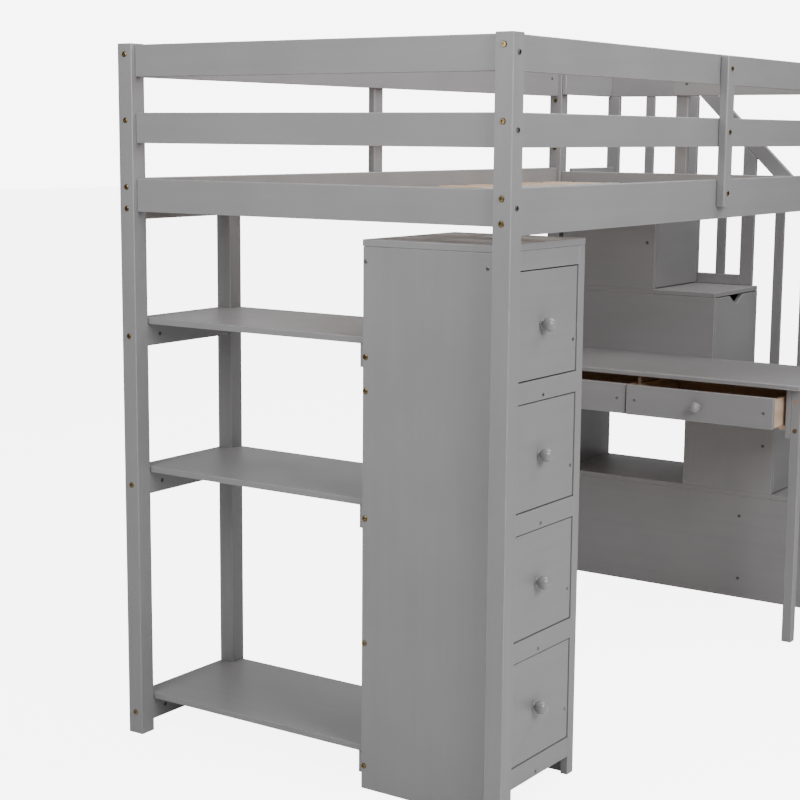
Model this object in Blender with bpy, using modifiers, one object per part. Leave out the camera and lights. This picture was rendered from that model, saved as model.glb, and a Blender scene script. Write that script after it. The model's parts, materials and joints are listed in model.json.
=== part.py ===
"""Twin loft bed with a desk, a chest of drawers, open shelves and a storage staircase.

Metres, +Z up. The origin is on the floor under the middle of the whole object.
+X runs along the bed from the chest to the staircase, +Y from the near side to the rear.
The stations below are measured from the left end of the bed and from the outer face of its
near posts; place() moves every piece from them to the origin.
"""
import math

import bmesh
import bpy
from mathutils import Vector

# ---- driving dimensions -------------------------------------------------------------
GAP = 0.0003                      # clearance kept between boards that touch
SINK = 0.001                      # how deep a glued piece reaches into the piece that carries it
PAST = 0.010                      # how far a cutter runs past the faces it cuts
BED_LENGTH = 2.071
BED_WIDTH = 1.060
BED_HEIGHT = 1.654
POST = 0.043                      # corner posts, square

RAIL_T = 0.020                    # guard and side rails
RAIL_SET = 0.012                  # a rail's outer face behind the post's outer face
TOP_RAIL = (1.578, 1.651)
MIDDLE_RAIL = (1.427, 1.497)
SIDE_RAIL = (1.250, 1.347)
LEFT_LOW_RAIL = (1.269, 1.345)
RIGHT_LOW_RAIL = (1.262, 1.335)
SUPPORT_W = 0.042                 # uprights bolted over the outside of the rails
SUPPORT_T = 0.0217
SUPPORT_Z = (1.280, 1.648)
SUPPORT_X = 1.034                 # middle of the long sides' uprights
ENTRANCE_FROM = 0.623             # the way in from the landing starts here

SLAT_COUNT = 13
SLAT_W = 0.070
SLAT_T = 0.015
SLAT_TOP = 1.302
SLAT_PITCH = 0.155
LEDGER_W = 0.025                  # strip that carries the slats
LEDGER_H = 0.020
LEDGER_END = 0.010                # ledgers and straps stop short of their ends
STRAP_END = 0.005
STRAP_W = 0.030
STRAP_T = 0.002

BOARD = 0.015                     # shelf, panel, tread and drawer front thickness
SHELF_X = (0.0455, 0.385)
SHELF_REAR = 1.058
SHELF_TOPS = {"low": 0.095, "middle": 0.660, "high": 1.018}
SHELF_POST_X = (0.345, 0.388)     # rear post at the shelves' inner corner
BATTEN_H = 0.052
BATTEN_T = 0.020
REAR_BATTEN_Y = 1.020
BACK_BATTEN_END = 0.003           # battens on the chest's back stop short of its edge
BACK_BATTEN_LOW = 0.028           # the lowest one is cut down to this height

CHEST_X = (0.032, 0.396)
CHEST_Y = (0.0433, 0.384)
CHEST_H = 1.230
CHEST_FRAME_T = 0.018
CHEST_STILE = 0.027
CHEST_KICK = 0.045
CHEST_TOP_LIP = 0.002             # the top board stands proud at the rear and the right
CHEST_DRAWERS = 4
CHEST_FIRST = 0.090               # lowest drawer opening
CHEST_PITCH = 0.2823
CHEST_OPENING = 0.237
FRONT_GAP = 0.003                 # round an inset drawer front
FRONT_RECESS = 0.002
RUNNER_T = 0.012
RUNNER_UP = 0.008                 # a chest runner's top above its drawer opening
RUNNER_REAR = 0.004               # runners and drawer boxes end this far before the back
CHEST_BOX_REAR = 0.010
CHEST_BOX_H = 0.165
WALL = 0.012                      # drawer box walls
BOTTOM = 0.006                    # drawer box bottoms

DESK_X = 1.610                    # front edge of the desk top
DESK_Y = (0.002, 1.058)
DESK_H = 0.760
DESK_LEG = 0.029
DESK_LEG_X = 1.655
DESK_LEG_OUT = 0.014              # leg's outer face from the bed's outer face
APRON_LOW = 0.600
DESK_FRONT_Z = (0.633, 0.7225)
DESK_FRONT_Y = (0.066, 0.527)     # near drawer; the far one mirrors it
DESK_DRAWER_DEPTH = 0.345
DESK_DRAWER_OUT = {"near": 0.077, "far": 0.070}
DESK_RUNNER_Z = (0.621, 0.634)
DESK_DIVIDER_T = 0.010
DESK_RUNNER_IN = 0.018            # how far a runner reaches under a drawer
DESK_RUNNER_X = 0.002             # a runner starts behind the apron's end
DESK_BOX_IN = (0.003, 0.005)      # a box's sides behind the ends of its front, outer and inner
DESK_BOX_DOWN = 0.006             # a box's top below its front's
DESK_REAR_RAIL_LOW = 0.645        # clear of the cubby behind the desk

STAIR_X = (2.028, 2.370)
RISER_Y = (0.030, 0.242, 0.454, 0.666)
TREAD_TOPS = (0.345, 0.655, 0.966, 1.260)
STAIR_REAR = 1.000
STAIR_BACK_TOP = 1.345
CUBBY_Y = 0.542                   # near end of the pass-through opening
STAIR_DEPTHS = (0.460, 0.270, 0.450, 0.300)
STAIR_BOX_DOWN = 0.060            # a stair drawer box's top below its front's
BASE_T = 0.012
BASE_SET = 0.015                  # the base behind the lowest drawer's front
BASE_LAP = 0.002
NOTCH_W = 0.104                   # finger notch in the top edge of a stair drawer
NOTCH_H = 0.028
NOTCH_TIP = (0.008, 0.002)        # half width and rise of its flattened tip

RAILING_POST_W = 0.045
RAILING_POST_Y = (0.046, 0.258, 0.470, 0.682)
BALUSTER_W = 0.033
BALUSTER_Y = (0.175, 0.382, 0.585, 0.858)
RAILING_FOOT_H = 0.034
RAILING_TOP = (1.583, 1.650)
HANDRAIL_SLOPE = 0.97             # rise for each metre towards the rear
HANDRAIL_RISE = 0.067             # its width, measured upright
HANDRAIL_UNDER = (0.675, 1.583)   # a point on its lower edge, along Y and Z
HANDRAIL_LAP = 0.030              # how deep posts and balusters are let into the rails
HANDRAIL_HEAD = 0.002             # the handrail runs on behind the first upright of the guard
RETURN_X = 0.003                  # the rear return reaches the bed's post short of its edge

KNOB_R = 0.0155                   # a ball on a short neck and a flat foot
KNOB_UP = 0.0175                  # the ball's middle above the drawer's front
KNOB_NECK_R = 0.0075
KNOB_FOOT = (0.0105, 0.0018)      # radius and thickness
KNOB_ARC = 8
KNOB_STEPS = 20

ORIGIN = Vector((STAIR_X[1] / 2, BED_WIDTH / 2, 0.0))
GREY = (0.235, 0.232, 0.240)
PINE = (0.560, 0.400, 0.250)

# ---- clean scene and collections ----------------------------------------------------
for old in list(bpy.data.objects):
    bpy.data.objects.remove(old, do_unlink=True)

parts = bpy.data.collections.new("loft_bed_with_desk")
cutters = bpy.data.collections.new("cutters")
for collection in (parts, cutters):
    bpy.context.scene.collection.children.link(collection)


# ---- joinery helpers ----------------------------------------------------------------
def place(mesh, name, pivot, colour, cutter):
    """Link a mesh drawn round its pivot as one piece, or as a hidden tool."""
    piece = bpy.data.objects.new(name, mesh)
    piece.location = Vector(pivot) - ORIGIN
    if cutter:
        piece.hide_render = True
        piece.display_type = "WIRE"
        cutters.objects.link(piece)
        return piece
    material = bpy.data.materials.new(name)
    material.use_nodes = True
    shader = material.node_tree.nodes["Principled BSDF"]
    shader.inputs["Base Color"].default_value = (*colour, 1.0)
    shader.inputs["Roughness"].default_value = 0.45 if colour is GREY else 0.6
    mesh.materials.append(material)
    parts.objects.link(piece)
    return piece


def board(name, x, y, z, colour=GREY, cutter=False):
    """A plain board between three pairs of stations."""
    bm = bmesh.new()
    corners = bmesh.ops.create_cube(bm, size=1.0)["verts"]
    size = Vector((x[1] - x[0], y[1] - y[0], z[1] - z[0]))
    bmesh.ops.scale(bm, vec=size, verts=corners)
    mesh = bpy.data.meshes.new(name)
    bm.to_mesh(mesh)
    bm.free()
    return place(mesh, name, (sum(x) / 2, sum(y) / 2, sum(z) / 2), colour, cutter)


def sheet(name, axis, outline, low, high, colour=GREY, cutter=False):
    """A board of any outline, cut from sheet between two stations along one axis."""
    at = {"X": lambda u, v, w: (w, u, v), "Y": lambda u, v, w: (u, w, v),
          "Z": lambda u, v, w: (u, v, w)}[axis]
    bm = bmesh.new()
    face = bm.faces.new([bm.verts.new(at(u, v, low)) for u, v in outline])
    grown = bmesh.ops.extrude_face_region(bm, geom=[face])["geom"]
    moved = [item for item in grown if isinstance(item, bmesh.types.BMVert)]
    bmesh.ops.translate(bm, vec=at(0.0, 0.0, high - low), verts=moved)
    bmesh.ops.recalc_face_normals(bm, faces=bm.faces)
    pivot = sum((vert.co for vert in bm.verts), Vector()) / len(bm.verts)
    bmesh.ops.translate(bm, vec=-pivot, verts=bm.verts)
    mesh = bpy.data.meshes.new(name)
    bm.to_mesh(mesh)
    bm.free()
    return place(mesh, name, pivot, colour, cutter)


def join(piece, tool, operation):
    """Join a hidden tool to a piece, or cut it out."""
    step = piece.modifiers.new(tool.name, "BOOLEAN")
    step.object = tool
    step.operation = operation
    step.solver = "EXACT"


def glue(piece, *boxes):
    """Glue boards, each given as three pairs of stations, to a piece."""
    for x, y, z in boxes:
        name = f"{piece.name}_glued_{len(piece.modifiers)}"
        join(piece, board(name, x, y, z, cutter=True), "UNION")


def cut(piece, *boxes):
    """Cut boxes, each given as three pairs of stations, out of a piece."""
    for x, y, z in boxes:
        name = f"{piece.name}_cut_{len(piece.modifiers)}"
        join(piece, board(name, x, y, z, cutter=True), "DIFFERENCE")


def mirrored(span, width=BED_WIDTH):
    """The same pair of stations, counted from the other side of the bed."""
    return width - span[1], width - span[0]


# ---- bed ----------------------------------------------------------------------------
def bed_posts():
    near = left = (0.0, POST)
    rear = mirrored(near)
    right = (BED_LENGTH - POST, BED_LENGTH)
    board("post_near_left", left, near, (0.0, BED_HEIGHT))
    board("post_rear_left", left, rear, (0.0, BED_HEIGHT))
    board("post_near_right", right, near, (0.0, BED_HEIGHT))
    board("post_rear_right", right, rear, (0.0, BED_HEIGHT))
    board("post_shelf_rear", SHELF_POST_X, rear, (0.0, SIDE_RAIL[0] - GAP))


def side_guards():
    """Rails of the two long sides, with an upright half-way along each."""
    x = (POST + GAP, BED_LENGTH - POST - GAP)
    near = (RAIL_SET, RAIL_SET + RAIL_T)
    ledger = (near[1] - SINK, near[1] + LEDGER_W)
    ledger_z = (SLAT_TOP - SLAT_T - GAP - LEDGER_H, SLAT_TOP - SLAT_T - GAP)
    support = (RAIL_SET - GAP - SUPPORT_T, RAIL_SET - GAP)
    support_x = (SUPPORT_X - SUPPORT_W / 2, SUPPORT_X + SUPPORT_W / 2)
    for side in ("near", "rear"):
        turn = mirrored if side == "rear" else tuple
        board(f"guard_rail_top_{side}", x, turn(near), TOP_RAIL)
        board(f"guard_rail_middle_{side}", x, turn(near), MIDDLE_RAIL)
        rail = board(f"side_rail_{side}", x, turn(near), SIDE_RAIL)
        glue(rail, ((x[0] + LEDGER_END, x[1] - LEDGER_END), turn(ledger), ledger_z))
        board(f"guard_support_{side}", support_x, turn(support), SUPPORT_Z)


def end_guards():
    """Rails of the two ends; the right end is open to the landing behind a jamb."""
    y = (POST + GAP, BED_WIDTH - POST - GAP)
    left = (RAIL_SET, RAIL_SET + RAIL_T)
    right = mirrored(left, BED_LENGTH)
    board("end_rail_top_left", left, y, TOP_RAIL)
    board("end_rail_middle_left", left, y, MIDDLE_RAIL)
    board("end_rail_low_left", left, y, LEFT_LOW_RAIL)
    board("end_rail_top_right", right, (y[0], ENTRANCE_FROM), TOP_RAIL)
    board("end_rail_middle_right", right, (y[0], ENTRANCE_FROM), MIDDLE_RAIL)
    board("end_rail_low_right", right, y, RIGHT_LOW_RAIL)
    jamb_x = (right[1] + GAP, right[1] + GAP + SUPPORT_T)
    board("entrance_jamb", jamb_x, (ENTRANCE_FROM - SUPPORT_W, ENTRANCE_FROM), SUPPORT_Z)


def slat_deck():
    """Pine slats held at their pitch by two straps, rolled out on the ledgers."""
    side = RAIL_SET + RAIL_T + SINK
    y = (side, BED_WIDTH - side)
    z = (SLAT_TOP - SLAT_T, SLAT_TOP)
    starts = [(BED_LENGTH - SLAT_W) / 2 + SLAT_PITCH * (n - (SLAT_COUNT - 1) / 2)
              for n in range(SLAT_COUNT)]
    slats = [((x, x + SLAT_W), y, z) for x in starts]
    deck = board("slat_deck", *slats[0], colour=PINE)
    strap_x = (starts[0] + STRAP_END, starts[-1] + SLAT_W - STRAP_END)
    strap_z = (SLAT_TOP - SINK, SLAT_TOP + STRAP_T)
    middle = (BED_WIDTH / 4 - STRAP_W / 2, BED_WIDTH / 4 + STRAP_W / 2)
    glue(deck, (strap_x, middle, strap_z), (strap_x, mirrored(middle), strap_z), *slats[1:])


# ---- shelves between the chest and the rear posts -----------------------------------
def shelves():
    near = CHEST_Y[1] + GAP
    notch_x = SHELF_POST_X[0] - GAP
    notch_y = BED_WIDTH - POST - GAP
    outline = ((SHELF_X[0], near), (SHELF_X[1], near), (SHELF_X[1], notch_y),
               (notch_x, notch_y), (notch_x, SHELF_REAR), (SHELF_X[0], SHELF_REAR))
    for name, top in SHELF_TOPS.items():
        sheet(f"shelf_{name}", "Z", outline, top - BOARD, top)
        under = top - BOARD - GAP
        board(f"shelf_batten_{name}", (POST + GAP, notch_x),
              (REAR_BATTEN_Y, REAR_BATTEN_Y + BATTEN_T), (under - BATTEN_H, under))


# ---- chest of drawers ---------------------------------------------------------------
def chest_openings():
    """Lower and upper edge of each drawer opening, from the floor up."""
    lows = [CHEST_FIRST + CHEST_PITCH * n for n in range(CHEST_DRAWERS)]
    return [(low, low + CHEST_OPENING) for low in lows]


def chest_case():
    under_top = CHEST_H - BOARD - GAP
    behind = CHEST_Y[0] + CHEST_FRAME_T + GAP
    inside = (CHEST_X[0] + CHEST_STILE, CHEST_X[1] - CHEST_STILE)
    through = (CHEST_Y[0] - PAST, behind + PAST)
    frame = board("chest_face_frame", CHEST_X, (CHEST_Y[0], CHEST_Y[0] + CHEST_FRAME_T),
                  (0.0, under_top))
    cut(frame, (inside, through, (-PAST, CHEST_KICK)),
        *[(inside, through, opening) for opening in chest_openings()])

    runner_y = (behind, CHEST_Y[1] - BOARD - RUNNER_REAR)
    runner_in = CHEST_STILE + WALL
    sides = {"left": ((CHEST_X[0], CHEST_X[0] + BOARD),
                      (CHEST_X[0] + BOARD - SINK, CHEST_X[0] + runner_in)),
             "right": ((CHEST_X[1] - BOARD, CHEST_X[1]),
                       (CHEST_X[1] - runner_in, CHEST_X[1] - BOARD + SINK))}
    for side, (x, runner_x) in sides.items():
        panel = board(f"chest_side_{side}", x, (behind, CHEST_Y[1]), (0.0, under_top))
        glue(panel, *[(runner_x, runner_y, (low + RUNNER_UP - RUNNER_T, low + RUNNER_UP))
                      for low, _ in chest_openings()])

    between = (CHEST_X[0] + BOARD + GAP, CHEST_X[1] - BOARD - GAP)
    back = board("chest_back", between, (CHEST_Y[1] - BOARD, CHEST_Y[1]), (CHEST_KICK, under_top))
    for top in SHELF_TOPS.values():
        under = top - BOARD - GAP
        glue(back, ((between[0] + BACK_BATTEN_END, SHELF_POST_X[0]),
                    (CHEST_Y[1] - SINK, CHEST_Y[1] + BATTEN_T),
                    (max(under - BATTEN_H, BACK_BATTEN_LOW), under)))
    board("chest_top", (CHEST_X[0], CHEST_X[1] + CHEST_TOP_LIP),
          (CHEST_Y[0], CHEST_Y[1] + CHEST_TOP_LIP), (CHEST_H - BOARD, CHEST_H))


def drawer(name, box, front, pivot):
    """Open pine box behind a front, with its origin at the middle of the front's face."""
    x, y, z = box
    piece = board(name, x, y, z, PINE)
    cut(piece, ((x[0] + WALL, x[1] - WALL), (y[0] + WALL, y[1] - WALL), (z[0] + BOTTOM, z[1] + PAST)))
    glue(piece, front)
    shift = piece.location - (Vector(pivot) - ORIGIN)
    for vert in piece.data.vertices:
        vert.co += shift
    piece.location -= shift
    return piece


def knob_profile():
    """Radius and height from the ball's crown down to the foot."""
    neck = -math.acos(KNOB_NECK_R / KNOB_R)
    turns = [math.pi / 2 + (neck - math.pi / 2) * step / KNOB_ARC for step in range(1, KNOB_ARC + 1)]
    ball = [(KNOB_R * math.cos(turn), KNOB_UP + KNOB_R * math.sin(turn)) for turn in turns]
    return [(0.0, KNOB_UP + KNOB_R), *ball, KNOB_FOOT, (KNOB_FOOT[0], 0.0), (0.0, 0.0)]


def knob(name, centre, facing):
    """Turned ball knob that stands on a drawer front."""
    bm = bmesh.new()
    ring = [bm.verts.new((radius, 0.0, height)) for radius, height in knob_profile()]
    for above, below in zip(ring, ring[1:]):
        bm.edges.new((above, below))
    mesh = bpy.data.meshes.new(name)
    bm.to_mesh(mesh)
    bm.free()
    facing = Vector(facing)
    piece = place(mesh, name, Vector(centre) + facing * GAP, GREY, False)
    piece.rotation_mode = "QUATERNION"
    piece.rotation_quaternion = Vector((0.0, 0.0, 1.0)).rotation_difference(facing)
    turned = piece.modifiers.new("turned", "SCREW")
    turned.steps = KNOB_STEPS
    turned.render_steps = KNOB_STEPS
    turned.use_merge_vertices = True
    turned.merge_threshold = 0.00001


def chest_drawers():
    x = (CHEST_X[0] + CHEST_STILE + FRONT_GAP, CHEST_X[1] - CHEST_STILE - FRONT_GAP)
    face = CHEST_Y[0] + FRONT_RECESS
    rear = CHEST_Y[1] - BOARD - CHEST_BOX_REAR
    for number, (low, high) in enumerate(chest_openings(), start=1):
        front_z = (low + FRONT_GAP, high - FRONT_GAP)
        centre = (sum(x) / 2, face, sum(front_z) / 2)
        bottom = low + RUNNER_UP + GAP
        drawer(f"chest_drawer_{number}",
               (x, (face + BOARD - SINK, rear), (bottom, bottom + CHEST_BOX_H)),
               (x, (face, face + BOARD), front_z), centre)
        knob(f"chest_knob_{number}", centre, (0.0, -1.0, 0.0))


# ---- desk ---------------------------------------------------------------------------
def desk_case():
    rear_x = STAIR_X[0] - GAP
    under = DESK_H - BOARD - GAP
    board("desk_top", (DESK_X, rear_x), DESK_Y, (DESK_H - BOARD, DESK_H))
    leg_x = (DESK_LEG_X, DESK_LEG_X + DESK_LEG)
    leg_y = (DESK_LEG_OUT, DESK_LEG_OUT + DESK_LEG)
    board("desk_leg_near", leg_x, leg_y, (0.0, under))
    board("desk_leg_rear", leg_x, mirrored(leg_y), (0.0, under))

    apron = (leg_y[1] + GAP, leg_y[1] + GAP + BOARD)
    runner = (apron[1] - SINK, DESK_FRONT_Y[0] + DESK_RUNNER_IN)
    runner_x = (DESK_LEG_X + BOARD + DESK_RUNNER_X, rear_x - BOARD + SINK)
    middle = BED_WIDTH / 2
    divider = (middle - DESK_DIVIDER_T / 2, middle + DESK_DIVIDER_T / 2)
    frame = board("desk_drawer_frame", (DESK_LEG_X, rear_x), apron, (APRON_LOW, under))
    glue(frame,
         ((rear_x - BOARD, rear_x), (apron[1] - SINK, BED_WIDTH - apron[1] + SINK),
          (DESK_REAR_RAIL_LOW, under)),
         ((DESK_LEG_X, rear_x), mirrored(apron), (APRON_LOW, under)),
         (runner_x, divider, (DESK_RUNNER_Z[0], under)),
         (runner_x, (divider[0] - DESK_RUNNER_IN, divider[1] + DESK_RUNNER_IN), DESK_RUNNER_Z),
         (runner_x, runner, DESK_RUNNER_Z),
         (runner_x, mirrored(runner), DESK_RUNNER_Z))


def desk_drawers():
    """Two drawers side by side, each pulled out a little at rest."""
    box_z = (DESK_RUNNER_Z[1] + GAP, DESK_FRONT_Z[1] - DESK_BOX_DOWN)
    for side, out in DESK_DRAWER_OUT.items():
        turn = mirrored if side == "far" else tuple
        face = DESK_LEG_X - out
        front_y = turn(DESK_FRONT_Y)
        box_y = turn((DESK_FRONT_Y[0] + DESK_BOX_IN[0], DESK_FRONT_Y[1] - DESK_BOX_IN[1]))
        centre = (face, sum(front_y) / 2, sum(DESK_FRONT_Z) / 2)
        drawer(f"desk_drawer_{side}", ((face + BOARD - SINK, face + DESK_DRAWER_DEPTH), box_y, box_z),
               ((face, face + BOARD), front_y, DESK_FRONT_Z), centre)
        knob(f"desk_knob_{side}", centre, (-1.0, 0.0, 0.0))


# ---- storage staircase --------------------------------------------------------------
def stair_side(name, x, near):
    """Stepped side panel with the pass-through opening of the cubby."""
    tops = [top - BOARD - GAP for top in TREAD_TOPS]
    outline = [(near, 0.0), (near, tops[0])]
    for riser, below, top in zip(RISER_Y[1:], tops, tops[1:]):
        outline += [(riser, below), (riser, top)]
    outline += [(STAIR_REAR, tops[-1]), (STAIR_REAR, 0.0)]
    panel = sheet(name, "X", outline, *x)
    cut(panel, ((x[0] - PAST, x[1] + PAST), (CUBBY_Y, STAIR_REAR - BOARD),
                (TREAD_TOPS[0], TREAD_TOPS[1] - BOARD)))


def stair_case():
    x0, x1 = STAIR_X
    post_x = BED_LENGTH + GAP
    post_y = POST + GAP
    stair_side("stair_side_left", (x0, x0 + BOARD), post_y)
    stair_side("stair_side_right", (x1 - BOARD, x1), RISER_Y[0])
    inner = (x0 + BOARD + GAP, x1 - BOARD - GAP)
    rear = STAIR_REAR - BOARD - GAP
    back = board("stair_back", inner, (STAIR_REAR - BOARD, STAIR_REAR), (0.0, STAIR_BACK_TOP))
    glue(back, (inner, (RISER_Y[0] + BOARD + BASE_SET, rear + BASE_LAP), (0.0, BASE_T)))
    cut(back, ((x0, BED_LENGTH - RAIL_SET + GAP), (rear - PAST, STAIR_REAR + PAST),
               (RIGHT_LOW_RAIL[0] - GAP, STAIR_BACK_TOP + PAST)))

    treads = ("stair_tread_1", "stair_tread_2", "stair_tread_3")
    for name, top, riser, following in zip(treads, TREAD_TOPS, RISER_Y, RISER_Y[1:]):
        step = following - GAP
        outline = [(x1, riser), (x1, step), (inner[1], step), (inner[1], rear),
                   (inner[0], rear), (inner[0], step), (x0, step)]
        outline += [(x0, post_y), (post_x, post_y), (post_x, riser)] if riser < POST else [(x0, riser)]
        tread = sheet(name, "Z", outline, top - BOARD, top)
        if name == "stair_tread_1":
            glue(tread, (inner, (CUBBY_Y - BOARD, CUBBY_Y),
                         (top - SINK, TREAD_TOPS[1] - BOARD - GAP)))
    board("stair_landing", STAIR_X, (RISER_Y[3], rear), (TREAD_TOPS[3] - BOARD, TREAD_TOPS[3]))


def stair_drawers():
    """A drawer in each riser, with a finger notch in the top edge of its front."""
    lows = (0.0, *TREAD_TOPS[:3])
    for number in range(4):
        beside = BED_LENGTH if number == 0 else STAIR_X[0] + BOARD
        x = (beside + FRONT_GAP, STAIR_X[1] - BOARD - FRONT_GAP)
        face = RISER_Y[number]
        front_z = (lows[number] + FRONT_GAP, TREAD_TOPS[number] - BOARD - FRONT_GAP)
        bottom = BASE_T + GAP if number == 0 else lows[number] + GAP
        centre = (sum(x) / 2, face, sum(front_z) / 2)
        piece = drawer(f"stair_drawer_{number + 1}",
                       (x, (face + BOARD - SINK, face + STAIR_DEPTHS[number]),
                        (bottom, front_z[1] - STAIR_BOX_DOWN)),
                       (x, (face, face + BOARD), front_z), centre)
        middle, top = centre[0], front_z[1]
        tip = top - NOTCH_H
        notch = ((middle - NOTCH_W / 2, top + SINK), (middle - NOTCH_TIP[0], tip + NOTCH_TIP[1]),
                 (middle, tip), (middle + NOTCH_TIP[0], tip + NOTCH_TIP[1]),
                 (middle + NOTCH_W / 2, top + SINK))
        tool = sheet(f"finger_notch_{number + 1}", "Y", notch, face - PAST, face + BOARD + PAST,
                     cutter=True)
        join(piece, tool, "DIFFERENCE")


def stair_railing():
    """Handrail, its posts and balusters and the landing's guard, glued up as one panel."""
    x = (STAIR_X[1] - BOARD, STAIR_X[1])
    corner = BED_WIDTH - POST - GAP

    def under(y):
        return HANDRAIL_UNDER[1] + (y - HANDRAIL_UNDER[0]) * HANDRAIL_SLOPE

    foot = RAILING_POST_Y[0]
    head = RAILING_POST_Y[3] + HANDRAIL_HEAD
    outline = ((foot, under(foot)), (head, under(head)), (head, RAILING_TOP[1]),
               (HANDRAIL_UNDER[0], RAILING_TOP[1]), (foot, under(foot) + HANDRAIL_RISE))
    railing = sheet("stair_railing", "X", outline, *x)
    glue(railing, (x, (RAILING_POST_Y[3], corner), RAILING_TOP))
    ends = (*RISER_Y[1:], corner + GAP)
    for start, end, top, baluster in zip(RAILING_POST_Y, ends, TREAD_TOPS, BALUSTER_Y):
        post = (start, start + RAILING_POST_W)
        stick = (baluster - BALUSTER_W / 2, baluster + BALUSTER_W / 2)
        on_landing = top == TREAD_TOPS[3]
        heads = [RAILING_TOP[0] if on_landing else under(span[0]) for span in (post, stick)]
        reach = [height + HANDRAIL_LAP for height in heads]
        glue(railing, (x, post, (top + GAP, reach[0])),
             (x, (post[1] - SINK, end - GAP), (top + GAP, top + RAILING_FOOT_H)),
             (x, stick, (top + RAILING_FOOT_H - SINK, reach[1])))
    glue(railing,
         (x, (corner - RAILING_POST_W, corner), (TREAD_TOPS[3] + GAP, RAILING_TOP[0] + SINK)),
         ((BED_LENGTH - POST + RETURN_X, x[0] + SINK), (corner - BOARD, corner), RAILING_TOP))


bed_posts()
side_guards()
end_guards()
slat_deck()
shelves()
chest_case()
chest_drawers()
desk_case()
desk_drawers()
stair_case()
stair_drawers()
stair_railing()
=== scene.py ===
"""Looks of a grey painted loft bed with a desk, a chest, shelves and a storage staircase.

The sections follow the order in which it is put together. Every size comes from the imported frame,
in metres: +X runs from the chest to the staircase, +Y from the near side to the rear, +Z up.
"""
import json
import math
import random

import bmesh
import bpy
from mathutils import Matrix, Vector


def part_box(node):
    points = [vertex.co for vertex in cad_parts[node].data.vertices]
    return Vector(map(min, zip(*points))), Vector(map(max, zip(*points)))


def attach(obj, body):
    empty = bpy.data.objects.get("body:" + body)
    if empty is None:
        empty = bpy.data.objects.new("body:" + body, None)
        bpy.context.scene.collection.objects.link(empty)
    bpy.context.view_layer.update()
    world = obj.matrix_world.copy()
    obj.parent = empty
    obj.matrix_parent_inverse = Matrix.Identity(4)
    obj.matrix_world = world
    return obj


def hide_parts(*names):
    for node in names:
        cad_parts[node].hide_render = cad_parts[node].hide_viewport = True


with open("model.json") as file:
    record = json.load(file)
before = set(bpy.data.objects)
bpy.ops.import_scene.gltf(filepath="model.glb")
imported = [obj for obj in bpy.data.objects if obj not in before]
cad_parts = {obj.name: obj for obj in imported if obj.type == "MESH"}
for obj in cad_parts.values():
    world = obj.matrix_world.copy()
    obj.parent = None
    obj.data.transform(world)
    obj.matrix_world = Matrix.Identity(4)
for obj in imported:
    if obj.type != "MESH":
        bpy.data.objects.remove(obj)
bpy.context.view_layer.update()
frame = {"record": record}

# ==== Studio ===========================================================================
# The bed stands on a plain pale floor in a white room, under large soft lights. The camera
# looks along the bed from beyond its near left corner, a little above the mattress.
LENS = 76.67
SENSOR_W = 36.0
CAMERA_AT = (-4.122, -2.270, 1.453)
HEADING, TILT, ROLL = math.radians(-55.697), math.radians(81.119), math.radians(0.427)
WHITE = (1.0, 1.0, 1.0, 1.0)
SKY_LIGHT = 0.20
SKY_GLOW, FLOOR_GLOW = 7.0, 6.0   # what only the camera sees
FLOOR_REACH = 30.0

camera = bpy.data.objects.new("camera", bpy.data.cameras.new("camera"))
camera.data.lens = LENS
camera.data.sensor_width = SENSOR_W
camera.matrix_world = (Matrix.Translation(CAMERA_AT) @ Matrix.Rotation(HEADING, 4, "Z")
                       @ Matrix.Rotation(TILT, 4, "X") @ Matrix.Rotation(ROLL, 4, "Z"))
bpy.context.scene.collection.objects.link(camera)
bpy.context.scene.camera = camera


def soft_light(name, place, aim, size, watts):
    """A square softbox that faces a point."""
    lamp = bpy.data.objects.new(name, bpy.data.lights.new(name, "AREA"))
    lamp.data.size = size
    lamp.data.energy = watts
    lamp.location = place
    lamp.rotation_mode = "QUATERNION"
    lamp.rotation_quaternion = (Vector(aim) - Vector(place)).to_track_quat("-Z", "Y")
    bpy.context.scene.collection.objects.link(lamp)


soft_light("key_light", (-1.7, -3.1, 2.5), (-0.6, -0.3, 1.0), 1.5, 81.0)
soft_light("side_light", (-2.9, 0.1, 2.1), (-1.2, 0.0, 1.0), 1.3, 34.0)
soft_light("top_light", (0.5, -0.7, 3.3), (0.2, 0.0, 0.8), 2.6, 82.0)
soft_light("back_light", (3.2, 2.6, 3.0), (0.4, 0.2, 0.8), 2.6, 20.0)


def seen_brighter(tree, lit, glow):
    """Add a white glow that only the camera sees, so that a pale backdrop doesn't light the bed."""
    seen = tree.nodes.new("ShaderNodeLightPath").outputs["Is Camera Ray"]
    kind = "ShaderNodeBackground" if lit.node.type == "BACKGROUND" else "ShaderNodeEmission"
    shine = tree.nodes.new(kind)
    shine.inputs["Color"].default_value = WHITE
    amount = tree.nodes.new("ShaderNodeMath")
    amount.operation = "MULTIPLY"
    amount.inputs[1].default_value = glow
    tree.links.new(seen, amount.inputs[0])
    tree.links.new(amount.outputs[0], shine.inputs["Strength"])
    both = tree.nodes.new("ShaderNodeAddShader")
    tree.links.new(lit, both.inputs[0])
    tree.links.new(shine.outputs[0], both.inputs[1])
    tree.links.new(both.outputs[0], lit.node.id_data.get_output_node("ALL").inputs["Surface"])


room = bpy.data.worlds.new("white_room")
room.use_nodes = True
sky = room.node_tree.nodes["Background"]
sky.inputs["Color"].default_value = WHITE
sky.inputs["Strength"].default_value = SKY_LIGHT
seen_brighter(room.node_tree, sky.outputs[0], SKY_GLOW)
bpy.context.scene.world = room

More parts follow.
